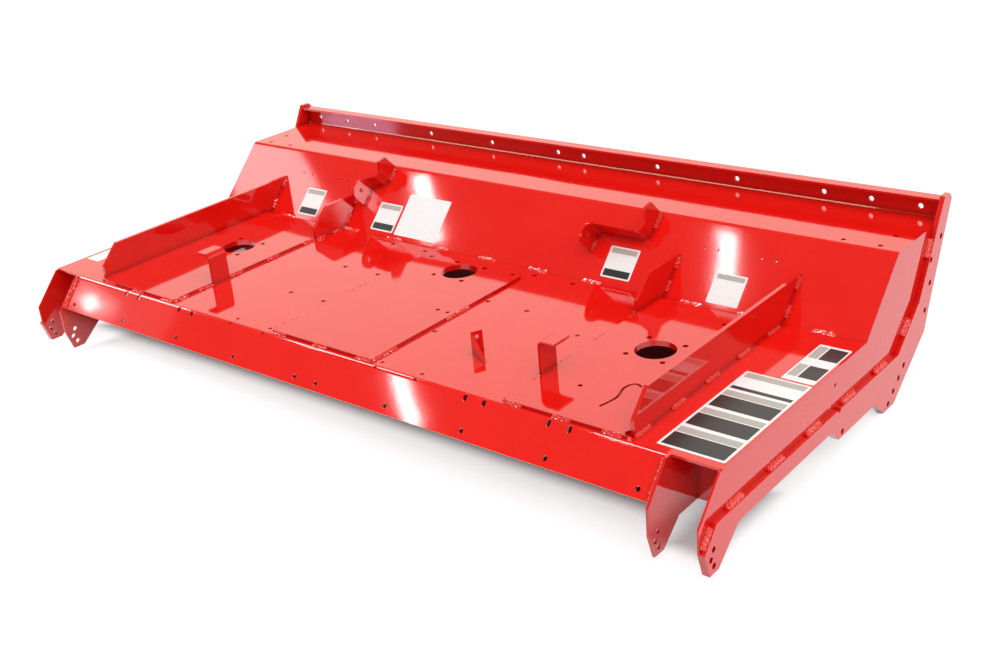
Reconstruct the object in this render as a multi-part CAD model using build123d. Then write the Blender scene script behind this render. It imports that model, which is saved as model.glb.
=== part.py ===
"""Welded steel deck of a wide rotary mower: three spindles, open rear skirt, tall front wall.

Working frame: X along the deck, Y back from the skirt fold, Z up from the top of the deck sheet.
Every piece is moved by one step at the end, so that the deck stands on Z = 0 with its box centred.
"""
import os
from math import atan2, cos, hypot, sin

from build123d import *

# Sheets and plates
deck_length = 1810.0
sheet = 5.0
bend_radius = 8.0
panel_sheet = 4.0
side_plate = 10.0
leg_plate = 5.0
rib_plate = 8.0
bracket_plate = 6.0
spindle_plate = 6.0

# Section of the deck, from the skirt to the rear edge of the ledge
shelf_depth = 530.0
wall_run = 129.0
wall_rise = 131.0
ledge_depth = 212.0
skirt_run = 55.0
skirt_drop = 61.0
wall_seat = 3.0

# Top rail
rail_web_height = 46.0
rail_flange = 27.0
rail_hole = 11.0
rail_hole_rise = 19.0
rail_hole_insets = (45.5, 149.0, 253.0, 457.5, 662.0, 867.5)

# Legs at the wheel pockets
pocket_width = 88.0
leg_front = 67.0
leg_proud = 6.0
leg_shin = 118.0
leg_low = 164.0
toe_front = 53.0
toe_back = 25.0
calf_back = 41.0
calf_radius = 30.0
pocket_depth = 82.0
pocket_low = 124.0
axle_hole = 11.0
axle_hole_setback = 40.0
axle_hole_bow = 8.5
axle_hole_drop = 134.5
axle_hole_pitch = 15.5

# Lower edge of the side plates
runner_low = 110.0
step_ahead = 158.0
step_low = 138.0
foot_behind = 27.0
foot_low = 176.0
foot_length = 47.0
heel_behind = 120.0
heel_low = 75.0
calf_behind = 136.0
calf_low = 31.0
tip_overhang = 11.0
tip_rise = 7.0
tip_chamfer = 12.0

# Upper edge of the side plates
band_drop = 77.0
band_front = 30.0
band_bend_ahead = 4.0
band_steep_behind = 87.0
band_tip_ahead = 25.0
band_notch_ahead = 129.0
band_notch = 12.0

# Holes in the side plates and end panels
side_hole = 12.0
hanger_row_behind = 86.0
hanger_row_low = 165.0
hanger_row_run = 67.0
hanger_row_rise = 55.0
hanger_row_count = 4
tip_holes = ((178.0, 106.0), (134.0, 71.0), (134.0, 23.0), (116.0, -29.0))
step_hole_ahead = 115.0
step_hole_drop = 128.0
panel_hole = 8.0
panel_hole_ahead = 129.0
panel_hole_drop = 30.0

# Spindles
spindle_inset = 135.0
spindle_ahead = 223.0
middle_spindle_ahead = 96.0
spindle_bore = 80.0
spindle_bolt = 11.0
spindle_bolt_square = 80.0

# Spindle plates on the deck
plate_front = 10.0
plate_gap = 15.0
plate_width = 260.0
middle_half = 140.0
middle_gap = 43.0
middle_corner = 20.0
middle_ear_inset = 22.0
middle_ear_ahead = 12.0
plate_hole = 9.0
pair_hole_back = 251.0
pair_hole_insets = (42.0, 15.0)
right_front_hole = (87.0, 119.0)
right_rear_hole = (180.0, 66.0)
hook_slot = 5.0
hook_slot_line = ((161, 72), (167, 98), (168, 119), (160, 152), (168, 171), (185, 167))
corner_notch_radius = 10.0

# Holes in the deck sheet
mount_hole = 11.0
mount_near = 160.0
mount_far = 262.0
mount_shift = -4.5
mount_front = 177.0
mount_back = 345.0
mount_rear_ahead = 26.0
idler_hole_inset = 48.0
idler_hole_back = 298.0

# Holes in the skirt
skirt_hole = 10.0
skirt_hole_edge = 16.0
skirt_hole_first = 30.0
skirt_hole_last = 28.5
skirt_hole_count = 5
fold_slot = 8.0
fold_slot_length = 15.0
fold_slot_reach = 6.5
fold_slot_insets = (286.5, 331.0, 474.5, 518.0)
fold_hole = 8.0
fold_hole_back = 20.0
fold_hole_places = (160.0, 262.0)

# Holes in the wall and the ledge
wall_hole = 4.8
wall_hole_rise = 123.0
wall_hole_insets = (230.0, 262.0, 359.0, 391.0)
ledge_hole = 10.0
ledge_holes = ((120.0, 19.0), (45.0, 19.0), (40.0, 78.0))

# Rails that stand on the deck beside the outer spindle plates
end_shelf = 171.0
deck_rail_front = 20.0
deck_rail_nose = 30.0
deck_rail_slope = 45.0
deck_rail_height = 76.0

# Gussets between the deck and the wall
gusset_length = 93.0
gusset_nose = 28.0
gusset_slope = 48.0
gusset_height = 72.0

# Belt guides
guide_front = 120.0
guide_width = 48.0
guide_height = 73.0
guide_reach = 38.0

# Spring tab
tab_inset = 180.0
tab_back = 138.0
tab_turn = 62.0
tab_width = 23.0
tab_height = 44.0
tab_wing = 58.0
tab_wing_height = 41.0
tab_hole = 9.0
tab_hole_inset = 12.0

# Lift brackets on the wall, measured up the wall and out from it
lobe_centre_rise = 92.0
lobe_centre_reach = 35.0
lobe_radius = 24.0
lobe_hole = 11.0
web_reach = 43.0
horn_waist_rise = 143.0
horn_waist_reach = 45.0
horn_rise = 163.0
horn_reach = 62.0
horn_top = 182.0
horn_top_reach = 49.0
horn_inset = 84.0
bracket_bend = 12.0
right_web_rise = 117.0
right_web_run = 128.0
left_web_rise = 121.0
left_web_climb = 15.0
left_web_run = 43.0

# Weld beads
weld_leg = 6.0
weld_crown = 0.58
stitch = 40.0
short_stitch = 28.0
rail_stitch = 45.0
edge_stitch = 52.0
middle_stitch = 72.0
middle_seam = 290.0
wall_stitch_count = (1, 2, 7)
rail_stitch_count = 5
rib_stitch_count = 2
front_stitch_count = 3
seam_stitch_count = (2, 3)
middle_stitch_count = 2
band_stitch_count = (1, 1, 5, 1)
drill = 60.0

half_length = deck_length / 2
wall_top = shelf_depth + wall_run
rear_edge = wall_top + ledge_depth
tip_back = rear_edge + tip_overhang
tip_top = wall_rise + rail_web_height + tip_rise
plate_back = shelf_depth - plate_gap
gusset_front = shelf_depth - gusset_length
wall_angle = atan2(wall_rise, wall_run)
wall_length = hypot(wall_run, wall_rise)
skirt_length = hypot(skirt_run, skirt_drop)
skirt_angle = atan2(skirt_drop, skirt_run)
fold_tangent = (bend_radius + sheet) * sin(skirt_angle / 2) / cos(skirt_angle / 2)
panel_inner = half_length - panel_sheet
leg_outer = panel_inner - pocket_width
leg_inner = leg_outer - leg_plate
deck_rail_outer = half_length - end_shelf
deck_rail_inner = deck_rail_outer - rib_plate
plate_inner = deck_rail_inner - plate_width
horn_place = plate_inner - horn_inset
wall_plane = Plane(
    origin=(0, shelf_depth, 0),
    x_dir=(1, 0, 0),
    z_dir=(0, -sin(wall_angle), cos(wall_angle)),
)
up_wall = Vector(0, cos(wall_angle), sin(wall_angle))
off_wall = Vector(0, -sin(wall_angle), cos(wall_angle))
down_skirt = Vector(0, -cos(skirt_angle), -sin(skirt_angle))
off_skirt = Vector(0, -sin(skirt_angle), cos(skirt_angle))
off_fold = Vector(0, -sin(skirt_angle / 2), cos(skirt_angle / 2))


def across(section, start, width):
    """A section drawn in Y and Z, given a width along X."""
    return extrude(Plane.YZ.offset(start) * section, amount=width, dir=(1, 0, 0))


def outline(points):
    """A flat face with straight sides through the points."""
    return make_face(Polyline(*points, close=True))


def bored(centre, direction, diameter):
    """A round cutter about a centre."""
    return Plane(origin=centre, z_dir=direction) * Cylinder(diameter / 2, drill)


def drilled(piece, centres, direction, diameter):
    """The piece with a row of equal holes."""
    for centre in centres:
        piece -= bored(centre, direction, diameter)
    return piece


def both_sides(places):
    """Places to the right and to the left of the middle."""
    return [side * place for side in (1, -1) for place in places]


def from_ends(insets):
    """Places measured inwards from the two ends of the deck."""
    return both_sides([half_length - inset for inset in insets])


def mirrored(piece):
    """The left-hand copy of a right-hand piece."""
    return mirror(piece, about=Plane.YZ)


def shifted(line, distance):
    """A polyline moved sideways, to the right of its travel, with mitred corners."""
    steps = [Vector(*b) - Vector(*a) for a, b in zip(line, line[1:])]
    sides = [Vector(step.Y, -step.X).normalized() for step in steps]
    before = [sides[0], *sides]
    after = [*sides, sides[-1]]
    moved = []
    for point, a, b in zip(line, before, after):
        mitre = (a + b) / (1 + a.dot(b)) * distance
        moved.append((point[0] + mitre.X, point[1] + mitre.Y))
    return moved


def folded_section(top_line):
    """The section of a sheet bent round one fold, with its outer face along the line."""
    outer = FilletPolyline(*top_line, radius=bend_radius + sheet)
    inner = FilletPolyline(*shifted(top_line, sheet), radius=bend_radius)
    ends = [Line(outer @ 0, inner @ 0), Line(outer @ 1, inner @ 1)]
    return make_face([*outer.edges(), *inner.edges(), *ends])


def skirt_point(place, reach):
    """A point on the outer face of the skirt, so far down from the fold."""
    return Vector(place, 0, 0) + down_skirt * reach


def wall_point(place, rise, out=0.0):
    """A point so far up the wall and out from its face."""
    return Vector(place, shelf_depth, 0) + up_wall * rise + off_wall * out


def spindle_centres():
    """The three spindle axes on the deck."""
    spread = deck_rail_inner - spindle_inset
    outer_back = shelf_depth - spindle_ahead
    return (
        (-spread, outer_back),
        (0.0, shelf_depth - middle_spindle_ahead),
        (spread, outer_back),
    )


def spindle_holes(piece, centre):
    """One spindle bore and its four bolt holes cut through a piece."""
    x, y = centre
    half = spindle_bolt_square / 2
    bolts = [(x + i * half, y + j * half, 0) for i in (1, -1) for j in (1, -1)]
    piece = drilled(piece, [(x, y, 0)], (0, 0, 1), spindle_bore)
    return drilled(piece, bolts, (0, 0, 1), spindle_bolt)


def slot_cutter(centre, along, off, length, width):
    """A cutter with round ends, its long side along one direction."""
    plane = Plane(origin=centre, x_dir=along, z_dir=off)
    return extrude(plane * SlotOverall(length, width), amount=drill / 2, both=True)


def deck_sheet():
    """Deck top and sloped skirt, one folded sheet; the skirt stops at the wheel pockets."""
    skirt_edge = (-skirt_run, -skirt_drop)
    rear = shelf_depth + sheet / sin(wall_angle) + wall_seat
    piece = across(folded_section([skirt_edge, (0, 0), (rear, 0)]), -half_length, deck_length)
    pocket = outline(
        [
            (fold_tangent, drill),
            (fold_tangent, -skirt_drop - drill),
            (-skirt_run - drill, -skirt_drop - drill),
            (-skirt_run - drill, drill),
        ]
    )
    piece -= across(pocket, leg_inner, half_length)
    piece -= across(pocket, -leg_inner - half_length, half_length)
    for centre in spindle_centres():
        piece = spindle_holes(piece, centre)
    mounts = [
        (x + mount_shift, y, 0)
        for x in both_sides((mount_near, mount_far))
        for y in (mount_front, mount_back, shelf_depth - mount_rear_ahead)
    ]
    piece = drilled(piece, mounts, (0, 0, 1), mount_hole)
    idler = (plate_inner - idler_hole_inset, idler_hole_back, 0)
    piece = drilled(piece, [idler], (0, 0, 1), plate_hole)
    low_row = [skirt_point(x, skirt_length - skirt_hole_edge) for x in skirt_hole_places()]
    piece = drilled(piece, low_row, off_skirt, skirt_hole)
    for x in from_ends(fold_slot_insets):
        centre = skirt_point(x, fold_slot_reach)
        piece -= slot_cutter(centre, down_skirt, off_skirt, fold_slot_length, fold_slot)
    for x in both_sides(fold_hole_places):
        piece -= bored((x, fold_hole_back, 0), (0, 0, 1), fold_hole)
        piece -= bored((x, 0, 0), off_fold, fold_hole)
    return piece


def skirt_hole_places():
    """An even row of holes on each half of the skirt."""
    pitch = (leg_inner - skirt_hole_last - skirt_hole_first) / (skirt_hole_count - 1)
    return both_sides([skirt_hole_first + i * pitch for i in range(skirt_hole_count)])


def wall_sheet():
    """Sloped wall and ledge, one folded sheet that stands on the deck's rear edge."""
    line = [(shelf_depth, 0), (wall_top, wall_rise), (rear_edge, wall_rise)]
    piece = across(folded_section(line), -half_length, deck_length)
    foot = outline(
        [
            (shelf_depth - drill, 0),
            (shelf_depth + drill, 0),
            (shelf_depth + drill, -drill),
            (shelf_depth - drill, -drill),
        ]
    )
    fill = outline([(shelf_depth, 0), *foot_wedge()])
    piece += across(fill, -half_length, deck_length)
    piece -= across(foot, -half_length, deck_length)
    row = [wall_point(x, wall_hole_rise) for x in from_ends(wall_hole_insets)]
    piece = drilled(piece, row, off_wall, wall_hole)
    corners = [
        (x, wall_top + behind, wall_rise)
        for inset, behind in ledge_holes
        for x in from_ends((inset,))
    ]
    return drilled(piece, corners, (0, 0, 1), ledge_hole)


def foot_wedge():
    """The two points that level the wall's square-cut foot with the deck."""
    square = (shelf_depth + sheet * sin(wall_angle), -sheet * cos(wall_angle))
    level = (shelf_depth + sheet / sin(wall_angle), 0)
    return (square, level)


def top_rail():
    """Angle section on the rear of the ledge: a web with a row of holes and a flange."""
    low = wall_rise
    high = wall_rise + rail_web_height
    web_front = rear_edge - sheet
    flange_front = rear_edge - rail_flange
    section = outline(
        [
            (rear_edge, low),
            (rear_edge, high),
            (flange_front, high),
            (flange_front, high - sheet),
            (web_front, high - sheet),
            (web_front, low),
        ]
    )
    piece = across(section, -half_length, deck_length)
    row = [(x, rear_edge, low + rail_hole_rise) for x in from_ends(rail_hole_insets)]
    return drilled(piece, row, (0, 1, 0), rail_hole)


def leg_front_edge(ahead):
    """Front edge of a leg from the deck to the toe, standing so far ahead of the skirt."""
    lead = ahead / sin(skirt_angle)
    return [
        (-lead, 0),
        (-leg_front, (lead - leg_front) * skirt_drop / skirt_run),
        (-leg_front, -leg_shin),
        (-toe_front, -leg_low),
        (-toe_back, -leg_low),
    ]


def calf_point(low):
    """Where the rear edge of a leg reaches a given depth."""
    share = (leg_low - low) / (leg_low - runner_low)
    return (-toe_back + share * (calf_back + toe_back), -low)


def lower_edge():
    """Lower edge shared by the end panels and the side plates, from the calf to the rear tip."""
    step_start = shelf_depth - step_ahead
    foot_start = shelf_depth + foot_behind
    foot_front = foot_start + foot_low - step_low
    return [
        calf_point(runner_low),
        (step_start, -runner_low),
        (step_start + step_low - runner_low, -step_low),
        (foot_start, -step_low),
        (foot_front, -foot_low),
        (foot_front + foot_length, -foot_low),
        (wall_top + heel_behind, -heel_low),
        (wall_top + calf_behind, -calf_low),
        (tip_back, tip_top - tip_chamfer),
    ]


def rear_edge_at(height):
    """How far back the rear edge of the side plates is at a height."""
    start = wall_top + calf_behind
    share = (height + calf_low) / (tip_top - tip_chamfer + calf_low)
    return start + share * (tip_back - start)


def rounded_calf(section):
    """The section with its inside corner behind the leg rounded."""
    corner = Vector(*calf_point(runner_low))
    nearest = min(section.vertices(), key=lambda v: (Vector(v.X, v.Y) - corner).length)
    return fillet(nearest, calf_radius)


def axle_places():
    """The three axle holes of a leg, the middle one set forward."""
    return [
        (-axle_hole_setback - bow, -axle_hole_drop + i * axle_hole_pitch)
        for i, bow in ((1, 0.0), (0, axle_hole_bow), (-1, 0.0))
    ]


def end_panel(deck, wall):
    """Right end wall under the sheets, with its own leg in front of the wheel pocket."""
    under = sheet / 2
    slope_foot = shelf_depth + under * (1 / sin(wall_angle) + 1 / wall_slope())
    wall_line = shelf_depth + (wall_rise - under) / wall_slope() + under / sin(wall_angle)
    top_chain = [
        (rear_edge_at(wall_rise - under), wall_rise - under),
        (wall_line, wall_rise - under),
        (slope_foot, 0),
        (slope_foot, -under),
        (0, -under),
    ]
    points = [*leg_front_edge(0.0)[1:], *lower_edge()[:-1], *top_chain]
    piece = across(rounded_calf(outline(points)), panel_inner, panel_sheet)
    piece = piece - deck - wall
    piece = max(piece.solids(), key=lambda s: s.volume)
    holes = [(half_length, y, z) for y, z in axle_places()]
    piece = drilled(piece, holes, (1, 0, 0), axle_hole)
    piece = drilled(piece, side_hole_places(half_length), (1, 0, 0), side_hole)
    spot = (half_length, shelf_depth - panel_hole_ahead, -panel_hole_drop)
    return drilled(piece, [spot], (1, 0, 0), panel_hole)


def wall_slope():
    """Rise of the wall for each unit of run."""
    return wall_rise / wall_run


def side_hole_places(x):
    """Holes along the rear edge, on the slanted row and above the step."""
    start = shelf_depth + hanger_row_behind
    shares = [i / (hanger_row_count - 1) for i in range(hanger_row_count)]
    slanted = [(start + s * hanger_row_run, s * hanger_row_rise - hanger_row_low) for s in shares]
    tip = [(wall_top + behind, height) for behind, height in tip_holes]
    step = (shelf_depth - step_hole_ahead, -step_hole_drop)
    return [(x, y, z) for y, z in (*tip, *slanted, step)]


def band_edge():
    """Upper edge of a side plate, from the rear tip to the front of the leg."""
    return [
        (rear_edge - band_tip_ahead, tip_top),
        (wall_top + band_steep_behind, 0),
        (wall_top - band_bend_ahead, -band_drop),
        (-band_front, -band_drop),
        (-leg_front, -leg_shin),
        (-toe_front, -leg_low),
    ]


def plate_outline():
    """Outline of a side plate: its band edge, the toe, the lower edge and the tip."""
    tip = [(tip_back - tip_chamfer, tip_top)]
    return [*band_edge(), (-toe_back, -leg_low), *lower_edge(), *tip]


def side_plate_right():
    """Thick wear plate on the outside of the right end panel."""
    piece = across(rounded_calf(outline(plate_outline())), half_length, side_plate)
    holes = [(half_length, y, z) for y, z in axle_places()]
    piece = drilled(piece, holes, (1, 0, 0), axle_hole)
    notch = (half_length, shelf_depth - band_notch_ahead, -band_drop)
    piece = drilled(piece, [notch], (1, 0, 0), band_notch)
    return drilled(piece, side_hole_places(half_length), (1, 0, 0), side_hole)


def inner_leg():
    """Right inner leg of the wheel fork, proud of the skirt and closed behind by a plate."""
    seat = [
        (pocket_depth, -pocket_low),
        (pocket_depth, -sheet),
        (fold_tangent, -sheet),
        (fold_tangent, 0),
    ]
    points = [*leg_front_edge(leg_proud), calf_point(pocket_low), *seat]
    piece = across(outline(points), leg_inner, leg_plate)
    holes = [(leg_inner, y, z) for y, z in axle_places()]
    return drilled(piece, holes, (1, 0, 0), axle_hole)


def pocket_plate():
    """Cross plate that closes the right wheel pocket at the back."""
    section = outline(
        [
            (pocket_depth, -sheet),
            (pocket_depth + sheet, -sheet),
            (pocket_depth + sheet, -pocket_low),
            (pocket_depth, -pocket_low),
        ]
    )
    return across(section, leg_inner, panel_inner - leg_inner)


def flat_plate(points):
    """A spindle plate on the deck with straight sides through the points."""
    return extrude(outline(points), amount=spindle_plate, dir=(0, 0, 1))


def outer_plate():
    """Right spindle plate without its extra cuts."""
    corners = [
        (plate_inner, plate_front),
        (deck_rail_inner, plate_front),
        (deck_rail_inner, plate_back),
        (plate_inner, plate_back),
    ]
    return spindle_holes(flat_plate(corners), spindle_centres()[2])


def spindle_plate_right():
    """Right spindle plate with small holes, a hooked slot and a round notch at the rail."""
    piece = outer_plate()
    front, back = right_front_hole
    rear, ahead = right_rear_hole
    holes = [(plate_inner + front, back, 0), (plate_inner + rear, shelf_depth - ahead, 0)]
    piece = drilled(piece, holes, (0, 0, 1), plate_hole)
    line = Spline(*[(plate_inner + x, y) for x, y in hook_slot_line])
    piece -= extrude(trace(line, line_width=hook_slot), amount=spindle_plate, dir=(0, 0, 1))
    notch = (deck_rail_inner, plate_front + corner_notch_radius, 0)
    return piece - bored(notch, (0, 0, 1), 2 * corner_notch_radius)


def spindle_plate_middle():
    """Middle spindle plate, with its two rear corners rounded."""
    back = shelf_depth - middle_gap
    corners = [
        (-middle_half, plate_front),
        (middle_half, plate_front),
        (middle_half, back),
        (-middle_half, back),
    ]
    piece = flat_plate(corners)
    rear = piece.edges().filter_by(Axis.Z).group_by(Axis.Y)[-1]
    piece = fillet(rear, middle_corner)
    piece = spindle_holes(piece, spindle_centres()[1])
    ear = middle_half - middle_ear_inset
    ears = [(x, back - middle_ear_ahead, 0) for x in both_sides((ear,))]
    pair = [(middle_half - inset, pair_hole_back, 0) for inset in pair_hole_insets]
    return drilled(piece, [*ears, *pair], (0, 0, 1), plate_hole)


def on_wall(height):
    """How far back the face of the wall is at a height."""
    return shelf_depth + height / wall_slope()


def deck_rail():
    """Right upright rail on the deck, its nose cut back and its rear edge on the wall."""
    section = outline(
        [
            (deck_rail_front, 0),
            (deck_rail_front, deck_rail_nose),
            (deck_rail_front + deck_rail_slope, deck_rail_height),
            (on_wall(deck_rail_height), deck_rail_height),
            (shelf_depth, 0),
        ]
    )
    return across(section, deck_rail_inner, rib_plate)


def gusset():
    """Right gusset in the corner of the deck and the wall, beside the spindle plate."""
    section = outline(
        [
            (gusset_front, 0),
            (gusset_front, gusset_nose),
            (gusset_front + gusset_slope, gusset_height),
            (on_wall(gusset_height), gusset_height),
            (shelf_depth, 0),
        ]
    )
    return across(section, plate_inner - rib_plate, rib_plate)


def belt_guide():
    """Right belt guide: a strip bent once, its leg on the deck and its arm over the belt."""
    line = [
        (plate_inner - sheet, 0),
        (plate_inner - sheet, guide_height),
        (plate_inner - sheet + guide_reach, guide_height),
    ]
    section = Plane.XZ.offset(-guide_front) * folded_section(line)
    return extrude(section, amount=guide_width, dir=(0, 1, 0))


def spring_tab():
    """Small bent bracket: a holed plate and a pointed wing, turned on the deck."""
    half = sheet / 2
    plate = extrude(
        Plane.XZ * outline([(0, 0), (tab_width, 0), (tab_width, tab_height), (0, tab_height)]),
        amount=half,
        both=True,
    )
    plate -= bored((tab_width / 2, 0, tab_height - tab_hole_inset), (0, 1, 0), tab_hole)
    wing = extrude(
        Plane.YZ * outline([(half, 0), (-tab_wing, 0), (half, tab_wing_height)]),
        amount=sheet,
        dir=(1, 0, 0),
    )
    return Pos(plate_inner - tab_inset, tab_back, 0) * Rot(0, 0, tab_turn) * (plate + wing)


def bracket_profile():
    """Side view of a lift bracket: a round lobe, a narrow web and a pointed horn."""
    low = lobe_centre_rise - lobe_radius
    rise = (lobe_radius**2 - (web_reach - lobe_centre_reach) ** 2) ** 0.5
    high = lobe_centre_rise + rise
    tip = (lobe_centre_rise, lobe_centre_reach + lobe_radius)
    lobe = ThreePointArc((low, lobe_centre_reach), tip, (high, web_reach))
    sides = Polyline(
        (high, web_reach),
        (horn_waist_rise, horn_waist_reach),
        (horn_rise, horn_reach),
        (horn_top, horn_top_reach),
        (horn_top, 0),
        (low, 0),
        (low, lobe_centre_reach),
    )
    return make_face([lobe, *sides.edges()])


def lift_bracket(lobe_place, horn_at, web_low, web_high):
    """A plate bent twice: lobe turned down, web across, horn turned up, edge on the wall."""
    line = FilletPolyline(
        (lobe_place, 0),
        (lobe_place, web_low),
        (horn_at, web_high),
        (horn_at, wall_length),
        radius=bracket_bend + bracket_plate / 2,
    )
    strip = wall_plane * trace(line, line_width=bracket_plate)
    bent = extrude(strip, amount=horn_reach, dir=off_wall)
    foot = wall_point(lobe_place, 0)
    side = Plane(origin=foot, x_dir=up_wall, z_dir=up_wall.cross(off_wall))
    cutter = extrude(side * bracket_profile(), amount=half_length, both=True)
    hole = wall_point(lobe_place, lobe_centre_rise, lobe_centre_reach)
    return drilled(bent & cutter, [hole], (1, 0, 0), lobe_hole)


def lift_bracket_right():
    """Right bracket, with a long level web."""
    return lift_bracket(horn_place - right_web_run, horn_place, right_web_rise, right_web_rise)


def lift_bracket_left():
    """Left bracket, with a short web that climbs to the horn."""
    high = left_web_rise + left_web_climb
    return lift_bracket(-horn_place - left_web_run, -horn_place, left_web_rise, high)


def bead(start, end, side_a, side_b):
    """One fillet weld along a corner, its two feet on the faces that meet there."""
    corner = Vector(*start)
    along = Vector(*end) - corner
    foot_a = corner + Vector(*side_a).normalized() * weld_leg
    foot_b = corner + Vector(*side_b).normalized() * weld_leg
    crown = corner + (foot_a - corner + foot_b - corner) * weld_crown
    edges = [Line(corner, foot_a), ThreePointArc(foot_a, crown, foot_b), Line(foot_b, corner)]
    return extrude(make_face(edges), amount=along.length, dir=along)


def stitches(start, end, count, length, side_a, side_b, flush=True):
    """Equal beads along one corner: the first and last at its ends, or all spread evenly."""
    first = Vector(*start)
    run = Vector(*end) - first
    ahead = run.normalized()
    pitch = (run.length - length) / (count - 1) if flush else run.length / count
    lead = 0.0 if flush else (pitch - length) / 2
    beads = []
    for i in range(count):
        foot = first + ahead * (lead + i * pitch)
        beads.append(bead(foot, foot + ahead * length, side_a, side_b))
    return beads


def climbing(face, outward, height):
    """Short beads up the wall, beside one face of a rib of that height."""
    high = height / sin(wall_angle) - weld_leg
    ends = [wall_point(face, rise) for rise in (2 * weld_leg, high)]
    return stitches(*ends, rib_stitch_count, short_stitch, (outward, 0, 0), off_wall)


def wall_welds():
    """Stitches along the foot of the wall, between the ribs that cross it."""
    forward = (0, -1, 0)
    end, outer, middle = wall_stitch_count
    spans = [
        (-half_length, -deck_rail_outer, end, False),
        (-deck_rail_inner, -plate_inner, outer, False),
        (rib_plate - plate_inner, plate_inner - rib_plate, middle, True),
        (plate_inner, deck_rail_inner, outer, False),
        (deck_rail_outer, half_length, end, False),
    ]
    beads = []
    for left, right, count, flush in spans:
        ends = [(x, shelf_depth, 0) for x in (left, right)]
        beads += stitches(*ends, count, edge_stitch, forward, up_wall, flush)
    return beads


def rail_welds():
    """Stitches at the outer feet of the deck rails, and up the wall on both of their faces."""
    up = (0, 0, 1)
    beads = []
    for side in (1, -1):
        foot = [(side * deck_rail_outer, y, 0) for y in (deck_rail_front, plate_back)]
        beads += stitches(*foot, rail_stitch_count, rail_stitch, (side, 0, 0), up)
        beads += climbing(side * deck_rail_outer, side, deck_rail_height)
        beads += climbing(side * deck_rail_inner, -side, deck_rail_height)
    return beads


def plate_welds():
    """Stitches along the front and side edges of the spindle plates."""
    up = (0, 0, 1)
    forward = (0, -1, 0)
    notch_edge = deck_rail_inner - corner_notch_radius
    spans = ((plate_front, guide_front), (guide_front + guide_width, gusset_front))
    beads = []
    for side in (1, -1):
        front = [(side * x, plate_front, 0) for x in (plate_inner, notch_edge)]
        beads += stitches(*front, front_stitch_count, stitch, forward, up)
        for ends, count in zip(spans, seam_stitch_count):
            seam = [(side * plate_inner, y, 0) for y in ends]
            beads += stitches(*seam, count, stitch, (-side, 0, 0), up)
        middle = [(side * middle_half, y, 0) for y in (plate_front, plate_front + middle_seam)]
        beads += stitches(*middle, middle_stitch_count, middle_stitch, (side, 0, 0), up)
    front = [(x, plate_front, 0) for x in (-middle_half, middle_half)]
    return beads + stitches(*front, front_stitch_count, stitch, forward, up)


def side_welds():
    """Stitches along the upper and front edges of each side plate, on its end panel."""
    edge = [Vector(half_length, y, z) for y, z in band_edge()]
    lengths = (stitch, stitch, edge_stitch, stitch)
    beads = []
    for a, b, count, length in zip(edge, edge[1:], band_stitch_count, lengths):
        ahead = (b - a).normalized()
        exposed = Vector(0, ahead.Z, -ahead.Y)
        beads += stitches(a, b, count, length, exposed, (1, 0, 0), False)
    return beads + [mirrored(one) for one in beads]


def gusset_welds():
    """Short beads at the inner foot of each gusset, and up the wall on both of its faces."""
    up = (0, 0, 1)
    beads = []
    for side in (1, -1):
        inner = side * (plate_inner - rib_plate)
        foot = [(inner, y, 0) for y in (gusset_front, shelf_depth - 2 * weld_leg)]
        beads += stitches(*foot, rib_stitch_count, short_stitch, (-side, 0, 0), up)
        beads += climbing(inner, -side, gusset_height)
        beads += climbing(side * plate_inner, side, gusset_height)
    return beads


def bracket_welds():
    """Beads beside the lobe and the horn of each bracket, where they stand on the wall."""
    half = bracket_plate / 2
    lobe_foot = lobe_centre_rise - lobe_radius
    beads = []
    for horn_at, run in ((horn_place, right_web_run), (-horn_place, left_web_run)):
        horn = [wall_point(horn_at + half, rise) for rise in (horn_top - stitch, horn_top)]
        lobe_at = horn_at - run + half
        lobe = [wall_point(lobe_at, rise) for rise in (lobe_foot, lobe_foot + short_stitch)]
        beads += [bead(*ends, (1, 0, 0), off_wall) for ends in (horn, lobe)]
    return beads


def leg_welds():
    """A bead down each end of the skirt, in the corner that the proud inner leg makes there."""
    start = skirt_point(leg_inner, fold_tangent)
    end = skirt_point(leg_inner, skirt_length)
    right = bead(start, end, (-1, 0, 0), off_skirt)
    return [right, mirrored(right)]


def build():
    """Every piece by name, in the working frame."""
    deck = deck_sheet()
    wall = wall_sheet()
    panel = end_panel(deck, wall)
    plate = side_plate_right()
    leg = inner_leg()
    pocket = pocket_plate()
    rail = deck_rail()
    rib = gusset()
    guide = belt_guide()
    return {
        "deck_sheet": deck,
        "wall_sheet": wall,
        "top_rail": top_rail(),
        "end_panel_right": panel,
        "end_panel_left": mirrored(panel),
        "side_plate_right": plate,
        "side_plate_left": mirrored(plate),
        "inner_leg_right": leg,
        "inner_leg_left": mirrored(leg),
        "pocket_plate_right": pocket,
        "pocket_plate_left": mirrored(pocket),
        "spindle_plate_right": spindle_plate_right(),
        "spindle_plate_middle": spindle_plate_middle(),
        "spindle_plate_left": mirrored(outer_plate()),
        "deck_rail_right": rail,
        "deck_rail_left": mirrored(rail),
        "gusset_right": rib,
        "gusset_left": mirrored(rib),
        "belt_guide_right": guide,
        "belt_guide_left": mirrored(guide),
        "spring_tab": spring_tab(),
        "lift_bracket_left": lift_bracket_left(),
        "lift_bracket_right": lift_bracket_right(),
        "wall_welds": Compound(children=wall_welds()),
        "rail_welds": Compound(children=rail_welds()),
        "plate_welds": Compound(children=plate_welds()),
        "side_welds": Compound(children=side_welds()),
        "gusset_welds": Compound(children=gusset_welds()),
        "bracket_welds": Compound(children=bracket_welds()),
        "leg_welds": Compound(children=leg_welds()),
    }


standing = Pos(0, (leg_front - tip_back) / 2, foot_low)
os.makedirs("parts", exist_ok=True)
for name, piece in build().items():
    export_step(standing * piece, f"parts/{name}.step")
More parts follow.
